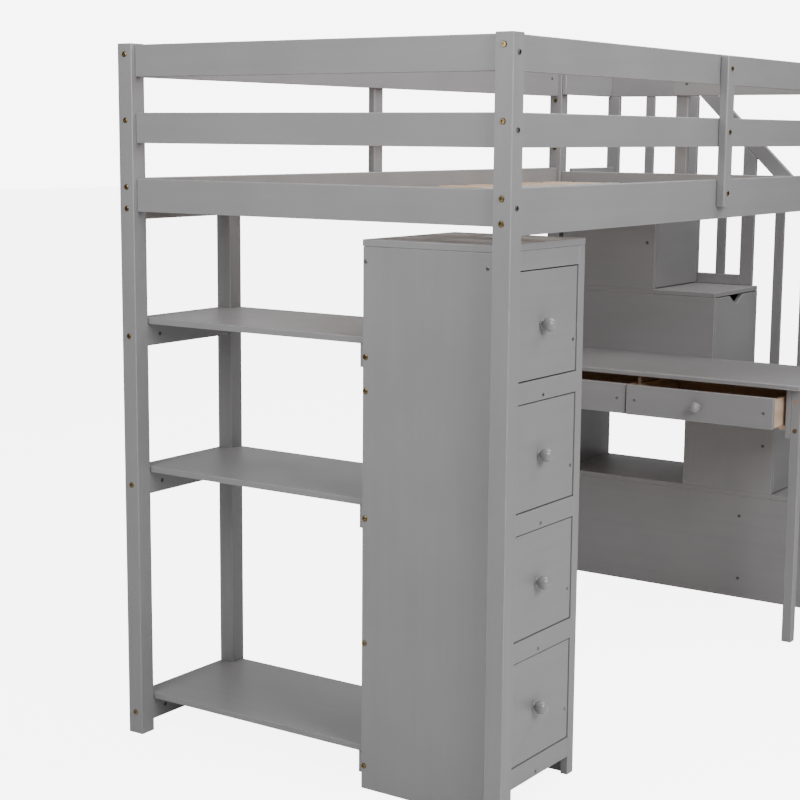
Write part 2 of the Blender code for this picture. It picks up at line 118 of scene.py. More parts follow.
floor_mesh = bmesh.new()
bmesh.ops.create_grid(floor_mesh, x_segments=1, y_segments=1, size=FLOOR_REACH)
floor = bpy.data.objects.new("floor", bpy.data.meshes.new("floor"))
floor_mesh.to_mesh(floor.data)
floor_mesh.free()
pale = bpy.data.materials.new("pale_floor")
pale.use_nodes = True
floor_paint = pale.node_tree.nodes["Principled BSDF"]
floor_paint.inputs["Base Color"].default_value = (0.86, 0.86, 0.86, 1.0)
floor_paint.inputs["Roughness"].default_value = 0.9
seen_brighter(pale.node_tree, floor_paint.outputs[0], FLOOR_GLOW)
floor.data.materials.append(pale)
bpy.context.scene.collection.objects.link(floor)

# ==== Corner posts =====================================================================
# Four square posts, and a fifth that carries the shelves, planed from solid wood and sprayed
# a satin grey. Their edges are eased, with a painted highlight along them that lightens the grey.
GREY = (0.285, 0.280, 0.287, 1.0)
GREY_SHADE = (0.262, 0.257, 0.264, 1.0)
# painted highlight: the lighter grey laid in patches along the eased edges
GREY_EDGE_HIGHLIGHT = (0.350, 0.344, 0.350, 1.0)
EASE = 0.0022                     # width of the eased edge on a board that states no other
POST_EASE = 0.0018
EASE_STEPS = 3
EASE_LIMIT = 0.3                  # an ease's most, as a share of the board's thinnest side
lots = random.Random(5)           # each board's lot number
home = {node: body for body, nodes in frame["record"]["behaviour"]["bodies"].items() for node in nodes}


def wire(tree, kind, inputs=(), **settings):
    """Add a node, set it up, and feed each input with a value or another node's output."""
    node = tree.nodes.new(kind)
    for setting, value in settings.items():
        setattr(node, setting, value)
    for label, value in dict(inputs).items():
        if isinstance(value, bpy.types.NodeSocket):
            tree.links.new(value, node.inputs[label])
        else:
            node.inputs[label].default_value = value
    return node


def effect(name, inputs, outputs):
    """An empty shader node group with named inputs and outputs."""
    group = bpy.data.node_groups.new(name, "ShaderNodeTree")
    for label, kind, value in inputs:
        group.interface.new_socket(label, in_out="INPUT", socket_type=kind).default_value = value
    for label, kind in outputs:
        group.interface.new_socket(label, in_out="OUTPUT", socket_type=kind)
    return group, group.nodes.new("NodeGroupInput").outputs, group.nodes.new("NodeGroupOutput").inputs


SKIN_OUT = (("Colour", "NodeSocketColor"), ("Roughness", "NodeSocketFloat"), ("Normal", "NodeSocketVector"))


def lot_coordinates(tree):
    """Object coordinates, moved for each board so that no two boards show the same grain."""
    where = wire(tree, "ShaderNodeTexCoord").outputs["Object"]
    lot = wire(tree, "ShaderNodeAttribute", attribute_name="lot").outputs["Fac"]
    return wire(tree, "ShaderNodeVectorMath", {0: lot, 1: (7.3, 5.1, 3.7), 2: where},
                operation="MULTIPLY_ADD").outputs[0]


def sprayed_paint_effect():
    """Grain and mottle that show through sprayed paint, and a painted highlight along the eased edges."""
    tree, given, out = effect("sprayed_paint", (
        ("Colour", "NodeSocketColor", GREY), ("Shade", "NodeSocketColor", GREY_SHADE),
        ("Edge", "NodeSocketColor", GREY_EDGE_HIGHLIGHT), ("Stretch", "NodeSocketVector", (1.0, 1.0, 1.0)),
        ("Relief", "NodeSocketFloat", 0.3)), SKIN_OUT)
    where = lot_coordinates(tree)
    grained = wire(tree, "ShaderNodeVectorMath", {0: where, 1: given["Stretch"]},
                   operation="MULTIPLY").outputs[0]
    fibre = wire(tree, "ShaderNodeTexNoise", {"Vector": grained, "Scale": 1.0, "Detail": 6.0,
                                              "Roughness": 0.62}).outputs["Fac"]
    mottle = wire(tree, "ShaderNodeTexNoise", {"Vector": where, "Scale": 5.0, "Detail": 3.0}).outputs["Fac"]
    peel = wire(tree, "ShaderNodeTexNoise", {"Vector": where, "Scale": 420.0, "Detail": 1.0}).outputs["Fac"]
    tone = wire(tree, "ShaderNodeMath", {0: fibre, 1: mottle}, operation="ADD").outputs[0]
    tone = wire(tree, "ShaderNodeMapRange", {"Value": tone, "From Min": 0.72, "From Max": 1.28}).outputs[0]
    body = wire(tree, "ShaderNodeMix", {"Factor": tone, 6: given["Shade"], 7: given["Colour"]},
                data_type="RGBA").outputs[2]
    # painted highlight: the eased edges turn towards the lighter Edge grey in patches
    worn = wire(tree, "ShaderNodeAttribute", attribute_name="worn").outputs["Fac"]
    highlight_patches = wire(tree, "ShaderNodeTexNoise", {"Vector": where, "Scale": 26.0, "Detail": 4.0}).outputs["Fac"]
    highlight_patches = wire(tree, "ShaderNodeMapRange", {"Value": highlight_patches, "From Min": 0.35, "From Max": 0.62,
                                            "To Min": 0.25, "To Max": 0.9}).outputs[0]
    highlight_patches = wire(tree, "ShaderNodeMath", {0: highlight_patches, 1: worn}, operation="MULTIPLY").outputs[0]
    body = wire(tree, "ShaderNodeMix", {"Factor": highlight_patches, 6: body, 7: given["Edge"]},
                data_type="RGBA").outputs[2]
    dull = wire(tree, "ShaderNodeMapRange", {"Value": mottle, "From Min": 0.3, "From Max": 0.7,
                                             "To Min": 0.40, "To Max": 0.52}).outputs[0]
    height = wire(tree, "ShaderNodeMath", {0: peel, 1: 0.35, 2: fibre}, operation="MULTIPLY_ADD").outputs[0]
    normal = wire(tree, "ShaderNodeBump", {"Strength": given["Relief"], "Distance": 0.0006,
                                           "Height": height}).outputs[0]
    for label, value in (("Colour", body), ("Roughness", dull), ("Normal", normal)):
        tree.links.new(value, out[label])
    return tree


def grain_along(axis, along, across):
    """Noise stretch for grain that runs along X, Y or Z."""
    return tuple(along if axis == letter else across for letter in "XYZ")


def coated(name, skin, settings, sockets=()):
    """A material whose surface comes from an effect; its shader's own numbers stay on its sockets."""
    material = bpy.data.materials.new(name)
    material.use_nodes = True
    tree = material.node_tree
    shader = tree.nodes["Principled BSDF"]
    effect_node = wire(tree, "ShaderNodeGroup", node_tree=skin)
    for label, value in settings.items():
        effect_node.inputs[label].default_value = value
    for output, socket in (("Colour", "Base Color"), ("Roughness", "Roughness"), ("Normal", "Normal")):
        tree.links.new(effect_node.outputs[output], shader.inputs[socket])
    for label, value in dict(sockets).items():
        shader.inputs[label].default_value = value
    return material


sprayed_paint = sprayed_paint_effect()
SATIN = {"Coat Weight": 0.12, "Coat Roughness": 0.35, "Specular IOR Level": 0.45}
painted = [coated(f"grey_paint_grain_{axis.lower()}", sprayed_paint,
                  {"Stretch": grain_along(axis, 2.2, 46.0)}, SATIN) for axis in "XYZ"]


def mark_board(bm, before, rounded, grain):
    """Give a new board's faces its lot number, the mask of the painted edge highlight, and its grain's
    direction.
    """
    worn = bm.faces.layers.float["worn"]
    lot = bm.faces.layers.float["lot"]
    number = lots.random()
    for face in bm.faces:
        if face not in before:
            face[lot] = number
            face.material_index = grain
            face[worn] = 1.0 if face in rounded else 0.0
            face.smooth = face in rounded


def new_stack():
    """An empty bmesh that boards are added to."""
    bm = bmesh.new()
    # the eased faces get the painted edge highlight
    bm.faces.layers.float.new("worn")
    bm.faces.layers.float.new("lot")
    return bm


def mill(bm, low, high, ease=EASE, grain=None):
    """Add one board with eased edges between two corners; its grain runs along its length."""
    low, high = Vector(low), Vector(high)
    size = high - low
    before = set(bm.faces)
    corners = bmesh.ops.create_cube(bm, size=1.0)["verts"]
    bmesh.ops.scale(bm, vec=size, verts=corners)
    bmesh.ops.translate(bm, vec=(low + high) / 2, verts=corners)
    edges = list({edge for vert in corners for edge in vert.link_edges})
    made = bmesh.ops.bevel(bm, geom=edges, offset=min(ease, min(size) * EASE_LIMIT), profile=0.5,
                           segments=EASE_STEPS, affect="EDGES", clamp_overlap=True)
    longest = max(range(3), key=lambda axis: size[axis])
    mark_board(bm, before, set(made["faces"]), longest if grain is None else grain)


def saw(bm, axis, outline, low, high, ease=EASE, grain=0):
    """Add one board of any outline, sawn from sheet between two stations along an axis."""
    at = {"X": lambda u, v, w: (w, u, v), "Y": lambda u, v, w: (u, w, v),
          "Z": lambda u, v, w: (u, v, w)}[axis]
    before = set(bm.faces)
    face = bm.faces.new([bm.verts.new(at(u, v, low)) for u, v in outline])
    grown = bmesh.ops.extrude_face_region(bm, geom=[face])["geom"]
    moved = [item for item in grown if isinstance(item, bmesh.types.BMVert)]
    bmesh.ops.translate(bm, vec=at(0.0, 0.0, high - low), verts=moved)
    fresh = [item for item in bm.faces if item not in before]
    bmesh.ops.recalc_face_normals(bm, faces=fresh)
    edges = list({edge for item in fresh for edge in item.edges})
    made = bmesh.ops.bevel(bm, geom=edges, offset=ease, profile=0.5, segments=EASE_STEPS,
                           affect="EDGES", clamp_overlap=True)
    mark_board(bm, before, set(made["faces"]), grain)


def assemble(name, source, finishes, body, stands_for=()):
    """Make a piece of a bmesh or a mesh and let it ride on its body."""
    mesh = source
    if isinstance(source, bmesh.types.BMesh):
        mesh = bpy.data.meshes.new(name)
        source.to_mesh(mesh)
        source.free()
    for material in finishes:
        if material.name not in mesh.materials:
            mesh.materials.append(material)
    made = bpy.data.objects.new(name, mesh)
    bpy.context.scene.collection.objects.link(made)
    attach(made, body)
    if stands_for:
        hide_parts(*stands_for)


def plain_board(node, ease=EASE):
    """A board that fills its node's box."""
    bm = new_stack()
    mill(bm, *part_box(node), ease)
    assemble(f"{node}_board", bm, painted, home[node], [node])


POSTS = ("post_near_left", "post_rear_left", "post_near_right", "post_rear_right", "post_shelf_rear")
for post in POSTS:
    plain_board(post, POST_EASE)

# ==== Bolts, nuts and screws ===========================================================
# Bronzed bolts with a hexagon socket hold the rails, slotted barrel nuts face them inside the
# boards, and small zinc screws hold panels and drawer fronts. One tree drives them all in.
HEAD_STEPS = 24
HEAD_SINK = 0.001                 # how far a head is let into the wood


def metal(name, colour, roughness, tarnish):
    """Metal with patches of tarnish."""
    material = bpy.data.materials.new(name)
    material.use_nodes = True
    tree = material.node_tree
    where = wire(tree, "ShaderNodeTexCoord").outputs["Object"]
    patches = wire(tree, "ShaderNodeTexNoise", {"Vector": where, "Scale": 260.0,
                                                "Detail": 4.0}).outputs["Fac"]
    dark = tuple(channel * tarnish for channel in colour) + (1.0,)
    tone = wire(tree, "ShaderNodeMix", {"Factor": patches, 6: (*colour, 1.0), 7: dark},
                data_type="RGBA").outputs[2]
    dull = wire(tree, "ShaderNodeMapRange", {"Value": patches, "To Min": roughness * 0.8,
                                             "To Max": roughness * 1.3}).outputs[0]
    shader = tree.nodes["Principled BSDF"]
    shader.inputs["Metallic"].default_value = 1.0
    tree.links.new(tone, shader.inputs["Base Color"])
    tree.links.new(dull, shader.inputs["Roughness"])
    return material


def hexagon(angle):
    """Reach of a hexagonal socket at an angle, as a share of its half width."""
    return 1.0 / math.cos((angle + math.pi / 6) % (math.pi / 3) - math.pi / 6)


def cross(angle):
    """Reach of a cross recess at an angle."""
    return 0.34 + 0.78 * max(0.0, math.cos(2.0 * angle)) ** 6


def slot_recess(angle):
    """Reach of a single slot at an angle."""
    return min(0.95, 0.16 / max(abs(math.sin(angle)), 0.12))


def head(name, radius, rise, recess, recess_radius, depth):
    """A turned head round a recess of any shape, closed underneath, as a pattern to copy."""
    bm = bmesh.new()
    angles = [2.0 * math.pi * step / HEAD_STEPS for step in range(HEAD_STEPS)]

    def ring(reach, height):
        return [bm.verts.new((reach(a) * math.cos(a), reach(a) * math.sin(a), height)) for a in angles]

    rings = [ring(lambda a: radius, -HEAD_SINK), ring(lambda a: radius, rise * 0.25),
             ring(lambda a: radius * 0.93, rise * 0.78), ring(lambda a: radius * 0.78, rise),
             ring(lambda a: recess_radius * recess(a), rise),
             ring(lambda a: recess_radius * recess(a) * 0.94, rise - depth)]
    for outer, inner in zip(rings, rings[1:]):
        for step in range(HEAD_STEPS):
            following = (step + 1) % HEAD_STEPS
            bm.faces.new((outer[step], outer[following], inner[following], inner[step]))
    bm.faces.new(list(reversed(rings[0])))
    bm.faces.new(rings[-1])
    bmesh.ops.recalc_face_normals(bm, faces=bm.faces)
    mesh = bpy.data.meshes.new(name)
    bm.to_mesh(mesh)
    bm.free()
    pattern = bpy.data.objects.new(name, mesh)
    pattern.hide_render = True
    bpy.context.scene.collection.objects.link(pattern)
    return pattern


bronze = metal("bronzed_steel", (0.36, 0.27, 0.13), roughness=0.26, tarnish=0.4)
zinc = metal("zinc_plate", (0.30, 0.29, 0.27), roughness=0.30, tarnish=0.4)
dark_steel = metal("dark_nut", (0.12, 0.11, 0.10), roughness=0.5, tarnish=0.6)
KINDS = {
    "bolt": (head("bolt_head", radius=0.0066, rise=0.0024, recess=hexagon, recess_radius=0.0030,
                  depth=0.0022), bronze),
    "cross_bolt": (head("cross_bolt_head", radius=0.0062, rise=0.0022, recess=hexagon,
                        recess_radius=0.0030, depth=0.0020), zinc),
    "nut": (head("nut_end", radius=0.0050, rise=0.0004, recess=slot_recess, recess_radius=0.0042,
                 depth=0.0012), dark_steel),
    "screw": (head("screw_head", radius=0.0042, rise=0.0008, recess=cross, recess_radius=0.0030,
                   depth=0.0014), zinc)}


def driving_tree():
    """Geometry nodes that set one head on every point, turned to the point's own direction."""
    tree = bpy.data.node_groups.new("drive_in", "GeometryNodeTree")
    for label, kind in (("Places", "NodeSocketGeometry"), ("Head", "NodeSocketObject"),
                        ("Finish", "NodeSocketMaterial"), ("Seed", "NodeSocketInt")):
        tree.interface.new_socket(label, in_out="INPUT", socket_type=kind)
    tree.interface.new_socket("Heads", in_out="OUTPUT", socket_type="NodeSocketGeometry")
    given = tree.nodes.new("NodeGroupInput").outputs
    facing = wire(tree, "GeometryNodeInputNamedAttribute", {"Name": "facing"},
                  data_type="FLOAT_VECTOR").outputs[0]
    pattern = wire(tree, "GeometryNodeObjectInfo", {"Object": given["Head"]}).outputs["Geometry"]
    turned = wire(tree, "FunctionNodeAlignRotationToVector", {"Vector": facing}, axis="Z").outputs[0]
    spin = wire(tree, "FunctionNodeRandomValue", {2: 0.0, 3: math.tau, "Seed": given["Seed"]},
                data_type="FLOAT").outputs[1]
    about = wire(tree, "FunctionNodeAxisAngleToRotation", {"Angle": spin}).outputs[0]
    turned = wire(tree, "FunctionNodeRotateRotation", {"Rotation": turned, "Rotate By": about},
                  rotation_space="LOCAL").outputs[0]
    heads = wire(tree, "GeometryNodeInstanceOnPoints", {"Points": given["Places"], "Instance": pattern,
                                                        "Rotation": turned}).outputs[0]
    heads = wire(tree, "GeometryNodeRealizeInstances", {"Geometry": heads}).outputs[0]
    heads = wire(tree, "GeometryNodeSetMaterial", {"Geometry": heads,
                                                   "Material": given["Finish"]}).outputs[0]
    tree.links.new(heads, tree.nodes.new("NodeGroupOutput").inputs["Heads"])
    return tree


drive_in = driving_tree()


def evaluated(tree, source, inputs):
    """The plain mesh that a geometry node tree makes of a mesh."""
    carrier = bpy.data.objects.new(source.name, source)
    bpy.context.scene.collection.objects.link(carrier)
    step = carrier.modifiers.new(tree.name, "NODES")
    step.node_group = tree
    sockets = {item.name: item.identifier for item in tree.interface.items_tree if item.in_out == "INPUT"}
    for label, value in inputs.items():
        step[sockets[label]] = value
    made = bpy.data.meshes.new_from_object(carrier.evaluated_get(bpy.context.evaluated_depsgraph_get()))
    bpy.data.objects.remove(carrier)
    return made


def fasten(name, kind, body, places):
    """Drive one kind of fastener in at each (place, facing) and let them ride together."""
    pattern, finish = KINDS[kind]
    points = bpy.data.meshes.new(name)
    points.from_pydata([place for place, _ in places], [], [])
    facing = points.attributes.new("facing", "FLOAT_VECTOR", "POINT")
    facing.data.foreach_set("vector", [value for _, way in places for value in way])
    made = evaluated(drive_in, points, {"Head": pattern, "Finish": finish, "Seed": len(places)})
    assemble(name, made, [finish], body)


X_OUT, Y_OUT, Z_OUT = Vector((1.0, 0.0, 0.0)), Vector((0.0, 1.0, 0.0)), Vector((0.0, 0.0, 1.0))


def centre(node):
    """Middle of a node's box."""
    low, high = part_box(node)
    return (low + high) / 2


TOP_RAIL_BOLT = 0.022             # these three are below the rails' top edges
MIDDLE_RAIL_BOLT = 0.018
SIDE_RAIL_BOLTS = (0.021, 0.071)
BATTEN_BOLT_BACK = 0.008          # behind the middle of a shelf batten
long_bolts, cross_bolts = [], []
for side in ("near", "rear"):
    tops = [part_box(f"guard_rail_top_{side}")[1].z - TOP_RAIL_BOLT,
            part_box(f"guard_rail_middle_{side}")[1].z - MIDDLE_RAIL_BOLT]
    tops += [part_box(f"side_rail_{side}")[1].z - drop for drop in SIDE_RAIL_BOLTS]
    rail_y = centre(f"guard_rail_top_{side}").y
    for end, way in (("left", -X_OUT), ("right", X_OUT)):
        corner_low, corner_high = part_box(f"post_{side}_{end}")
        face_x = corner_low.x if end == "left" else corner_high.x
        if end == "right":        # the staircase's end takes only the upper one in the side rail
            tops = tops[:3]
        long_bolts += [((face_x, rail_y, z), way) for z in tops]
        face_y, out = (corner_low.y, -Y_OUT) if side == "near" else (corner_high.y, Y_OUT)
        for level in ("top", "middle", "low"):
            rail = centre(f"end_rail_{level}_{end}")
            cross_bolts.append(((rail.x, face_y, rail.z), out))
shelf_bolts = []
for level in ("high", "middle", "low"):
    batten = centre(f"shelf_batten_{level}")
    bolt_y = batten.y + BATTEN_BOLT_BACK
    shelf_bolts.append(((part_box("post_rear_left")[0].x, bolt_y, batten.z), -X_OUT))
    shelf_bolts.append(((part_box("post_shelf_rear")[1].x, bolt_y, batten.z), X_OUT))
fasten("post_bolts", "bolt", "bed", long_bolts + shelf_bolts)
fasten("post_cross_bolts", "cross_bolt", "bed", cross_bolts)

# ==== Side rails and their ledgers =====================================================
# The two side rails tie the posts together along the bed. A bare pine strip is screwed along
# the inside of each, and the slats lie on it.
PINE = (0.740, 0.565, 0.420, 1.0)
PINE_DARK = (0.585, 0.410, 0.270, 1.0)
THIN_EASE = 0.0015
LEDGER_H = 0.020
LEDGER_END = 0.010                # a ledger stops short of the rail's ends
LEDGER_GAP = 0.0003               # under the slats
LEDGER_SCREW_FROM = 0.05
LEDGER_SCREW_PITCH = 0.24


def bare_wood_effect():
    """Growth rings, fibres and a warm patchiness, as on sanded pine."""
    tree, given, out = effect("bare_wood", (
        ("Light", "NodeSocketColor", PINE), ("Dark", "NodeSocketColor", PINE_DARK),
        ("Stretch", "NodeSocketVector", (1.0, 1.0, 1.0)), ("Relief", "NodeSocketFloat", 0.35)), SKIN_OUT)
    where = lot_coordinates(tree)
    grained = wire(tree, "ShaderNodeVectorMath", {0: where, 1: given["Stretch"]},
                   operation="MULTIPLY").outputs[0]
    rings = wire(tree, "ShaderNodeTexWave", {"Vector": grained, "Scale": 0.55, "Distortion": 7.0,
                                             "Detail": 3.0, "Detail Scale": 0.9, "Detail Roughness": 0.55},
                 wave_type="BANDS", bands_direction="DIAGONAL").outputs["Fac"]
    fibre = wire(tree, "ShaderNodeTexNoise", {"Vector": grained, "Scale": 6.0, "Detail": 5.0,
                                              "Roughness": 0.7}).outputs["Fac"]
    patch = wire(tree, "ShaderNodeTexNoise", {"Vector": where, "Scale": 4.0, "Detail": 2.0}).outputs["Fac"]
    tone = wire(tree, "ShaderNodeMath", {0: rings, 1: 0.55, 2: fibre}, operation="MULTIPLY_ADD").outputs[0]
    tone = wire(tree, "ShaderNodeMath", {0: patch, 1: 0.5, 2: tone}, operation="MULTIPLY_ADD").outputs[0]
    tone = wire(tree, "ShaderNodeMapRange", {"Value": tone, "From Min": 0.55, "From Max": 1.5}).outputs[0]
    colour = wire(tree, "ShaderNodeMix", {"Factor": tone, 6: given["Light"], 7: given["Dark"]},
                  data_type="RGBA").outputs[2]
    dull = wire(tree, "ShaderNodeMapRange", {"Value": fibre, "To Min": 0.55, "To Max": 0.75}).outputs[0]
    normal = wire(tree, "ShaderNodeBump", {"Strength": given["Relief"], "Distance": 0.0005,
                                           "Height": fibre}).outputs[0]
    for label, value in (("Colour", colour), ("Roughness", dull), ("Normal", normal)):
        tree.links.new(value, out[label])
    return tree


bare_wood = bare_wood_effect()
pine = [coated(f"bare_pine_grain_{axis.lower()}", bare_wood, {"Stretch": grain_along(axis, 1.3, 24.0)},
               {"Specular IOR Level": 0.35}) for axis in "XYZ"]

for side, inward in (("near", 1.0), ("rear", -1.0)):
    node = f"side_rail_{side}"
    low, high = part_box(node)
    rail_low, rail_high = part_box(f"guard_rail_top_{side}")
    rail = new_stack()
    mill(rail, (low.x, rail_low.y, low.z), (high.x, rail_high.y, high.z), grain=0)
    inner = rail_high.y if inward > 0 else rail_low.y
    ledger_y = sorted((inner, high.y if inward > 0 else low.y))
    ledger_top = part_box("slat_deck")[0].z - LEDGER_GAP
    mill(rail, (low.x + LEDGER_END, ledger_y[0], ledger_top - LEDGER_H),
         (high.x - LEDGER_END, ledger_y[1], ledger_top), THIN_EASE, grain=3)
    assemble(f"{node}_board", rail, [*painted, pine[0]], "bed", [node])
    screw_y = ledger_y[1] if inward > 0 else ledger_y[0]
    count = int((high.x - low.x) / LEDGER_SCREW_PITCH)
    fasten(f"ledger_screws_{side}", "screw", "bed",
           [((low.x + LEDGER_SCREW_FROM + LEDGER_SCREW_PITCH * n, screw_y, ledger_top - LEDGER_H / 2),
             Y_OUT * inward) for n in range(count)])

# ==== Guard rails, supports and the entrance ===========================================
# Flat rails run round the bed in two rows, with a low rail across each end. An upright is
# bolted over the long ones half-way, and a jamb closes the short ones beside the landing.
SUPPORT_EASE = 0.003
SUPPORT_BOLT = 0.034              # below each rail's top edge
NUT_INSET = 0.045                 # from a rail's or a batten's end
for side in ("near", "rear"):
    plain_board(f"guard_rail_top_{side}")
    plain_board(f"guard_rail_middle_{side}")
for end in ("left", "right"):
    for level in ("top", "middle", "low"):
        plain_board(f"end_rail_{level}_{end}")

support_bolts = []
for node, way, rails in (
        ("guard_support_near", -Y_OUT, ("guard_rail_top_near", "guard_rail_middle_near", "side_rail_near")),
        ("guard_support_rear", Y_OUT, ("guard_rail_top_rear", "guard_rail_middle_rear", "side_rail_rear")),
        ("entrance_jamb", X_OUT, ("end_rail_top_right", "end_rail_middle_right", "end_rail_low_right"))):
    plain_board(node, SUPPORT_EASE)
    low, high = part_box(node)
    face = (low + high) / 2 + Vector(way) * (abs(way.dot(high - low)) / 2)
    for rail in rails:
        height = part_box(rail)[1].z - SUPPORT_BOLT
        support_bolts.append(((face.x, face.y, height), way))
fasten("support_bolts", "bolt", "bed", support_bolts)

inner_nuts = []
for side, way in (("near", Y_OUT), ("rear", -Y_OUT)):
    rail_low, rail_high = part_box(f"guard_rail_top_{side}")
    inner = rail_high.y if side == "near" else rail_low.y
    for rail in (f"guard_rail_top_{side}", f"guard_rail_middle_{side}"):
        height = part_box(rail)[1].z - MIDDLE_RAIL_BOLT
        inner_nuts += [((x, inner, height), way) for x in (rail_low.x + NUT_INSET, rail_high.x - NUT_INSET)]
for end, way in (("left", X_OUT), ("right", -X_OUT)):
    for level in ("top", "middle", "low"):
        rail_low, rail_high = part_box(f"end_rail_{level}_{end}")
        inner = rail_high.x if end == "left" else rail_low.x
        middle = (rail_low.z + rail_high.z) / 2
        inner_nuts += [((inner, y, middle), way) for y in (rail_low.y + NUT_INSET, rail_high.y - NUT_INSET)]
fasten("rail_barrel_nuts", "nut", "bed", inner_nuts)

# ==== Slats ============================================================================
# Pine slats screwed at an even pitch to two straps of woven webbing, which roll up to travel.
# They are laid along the bed by one tree, each with its own lot number.
SLAT_W = 0.070
SLAT_PITCH = 0.155
SLAT_EASE = 0.0025
STRAP_W = 0.030
STRAP_SHARES = (0.25, 0.75)       # of the bed's width
STRAP_END = 0.005                 # a strap stops short of the outer slats' edges
STRAP_ROOM = 0.002                # over the slats
STRAP_T = 0.0016
STRAP_SINK = 0.0001
STRAP_EASE = 0.0004
STRAP_SCREW_SINK = 0.0002
STRAP_SCREW_OUT = 0.008           # two screws in each crossing, to either side of its middle


def laying_tree():
    """Geometry nodes that lay copies of a slat at a pitch and give each its own lot number."""
    tree = bpy.data.node_groups.new("lay_slats", "GeometryNodeTree")
    for label, kind in (("Slat", "NodeSocketGeometry"), ("Count", "NodeSocketInt"),
                        ("Pitch", "NodeSocketFloat"), ("Finish", "NodeSocketMaterial")):
        tree.interface.new_socket(label, in_out="INPUT", socket_type=kind)
    tree.interface.new_socket("Deck", in_out="OUTPUT", socket_type="NodeSocketGeometry")
    given = tree.nodes.new("NodeGroupInput").outputs
    step = wire(tree, "ShaderNodeCombineXYZ", {"X": given["Pitch"]}).outputs[0]
    line = wire(tree, "GeometryNodeMeshLine", {"Count": given["Count"], "Offset": step}).outputs[0]
    laid = wire(tree, "GeometryNodeInstanceOnPoints", {"Points": line,
                                                       "Instance": given["Slat"]}).outputs[0]
    lot = wire(tree, "FunctionNodeRandomValue", {"Seed": 3}, data_type="FLOAT").outputs[1]
    laid = wire(tree, "GeometryNodeStoreNamedAttribute", {"Geometry": laid, "Name": "lot", "Value": lot},
                data_type="FLOAT", domain="INSTANCE").outputs[0]
    laid = wire(tree, "GeometryNodeRealizeInstances", {"Geometry": laid}).outputs[0]
    laid = wire(tree, "GeometryNodeSetMaterial", {"Geometry": laid, "Material": given["Finish"]}).outputs[0]
    tree.links.new(laid, tree.nodes.new("NodeGroupOutput").inputs["Deck"])
    return tree


deck_low, deck_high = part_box("slat_deck")
slat_top = deck_high.z - STRAP_ROOM
one_slat = new_stack()
mill(one_slat, deck_low, (deck_low.x + SLAT_W, deck_high.y, slat_top), SLAT_EASE)
slat_mesh = bpy.data.meshes.new("slat")
one_slat.to_mesh(slat_mesh)
one_slat.free()
slat_mesh.attributes.remove(slat_mesh.attributes["lot"])
slat_count = round((deck_high.x - deck_low.x - SLAT_W) / SLAT_PITCH) + 1
deck = evaluated(laying_tree(), slat_mesh, {"Count": slat_count, "Pitch": SLAT_PITCH, "Finish": pine[1]})
assemble("slat_deck_slats", deck, [pine[1]], "bed", ["slat_deck"])


def webbing(name, colour):
    """Woven tape, with ribs across it."""
    material = bpy.data.materials.new(name)
    material.use_nodes = True
    tree = material.node_tree
    where = wire(tree, "ShaderNodeTexCoord").outputs["Object"]
    weave = wire(tree, "ShaderNodeTexWave", {"Vector": where, "Scale": 160.0, "Distortion": 0.6,
                                             "Detail": 1.0}, bands_direction="DIAGONAL").outputs["Fac"]
    dark = tuple(channel * 0.7 for channel in colour) + (1.0,)
    tone = wire(tree, "ShaderNodeMix", {"Factor": weave, 6: dark, 7: (*colour, 1.0)},
                data_type="RGBA").outputs[2]
    normal = wire(tree, "ShaderNodeBump", {"Strength": 0.5, "Distance": 0.0004, "Height": weave}).outputs[0]
    shader = tree.nodes["Principled BSDF"]
    tree.links.new(tone, shader.inputs["Base Color"])
    tree.links.new(normal, shader.inputs["Normal"])
    shader.inputs["Roughness"].default_value = 0.9
    return material


tape = webbing("strap_webbing", (0.62, 0.60, 0.56))
straps = new_stack()
strap_screws = []
screw_z = slat_top + STRAP_T - STRAP_SCREW_SINK
bed_near, bed_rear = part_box("post_near_left")[0].y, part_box("post_rear_left")[1].y
for share in STRAP_SHARES:
    y = bed_near + (bed_rear - bed_near) * share
    mill(straps, (deck_low.x + STRAP_END, y - STRAP_W / 2, slat_top - STRAP_SINK),
         (deck_high.x - STRAP_END, y + STRAP_W / 2, slat_top + STRAP_T), STRAP_EASE, grain=0)
    strap_screws += [((deck_low.x + SLAT_W / 2 + SLAT_PITCH * n, y + shift, screw_z), Z_OUT)
                     for n in range(slat_count) for shift in (-STRAP_SCREW_OUT, STRAP_SCREW_OUT)]
assemble("slat_straps", straps, [tape], "bed")
fasten("strap_screws", "screw", "bed", strap_screws)

# ==== Shelves ==========================================================================
# Three shelves rest on battens, at the rear on ones bolted between two posts and in front on
# ones screwed to the chest's back. Their rear corner is notched round the inner post.
POST_GAP = 0.0003                 # between a board and what it is let in round or rests on
SHELF_EASE = 0.0018
BATTEN_NUT_INSET = 0.044
for level in ("low", "middle", "high"):
    node = f"shelf_{level}"
    low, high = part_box(node)
    post_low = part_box("post_shelf_rear")[0]
    notch_x, notch_y = post_low.x - POST_GAP, post_low.y - POST_GAP
    shelf = new_stack()
    saw(shelf, "Z", ((low.x, low.y), (high.x, low.y), (high.x, notch_y), (notch_x, notch_y),
                     (notch_x, high.y), (low.x, high.y)), low.z, high.z, SHELF_EASE, grain=1)
    assemble(f"{node}_board", shelf, painted, "bed", [node])
    plain_board(f"shelf_batten_{level}", THIN_EASE)
    batten_low, batten_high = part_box(f"shelf_batten_{level}")
    middle = (batten_low.z + batten_high.z) / 2
    fasten(f"shelf_batten_nuts_{level}", "nut", "bed",
           [((x, batten_low.y, middle), -Y_OUT)
            for x in (batten_low.x + BATTEN_NUT_INSET, batten_high.x - BATTEN_NUT_INSET)])

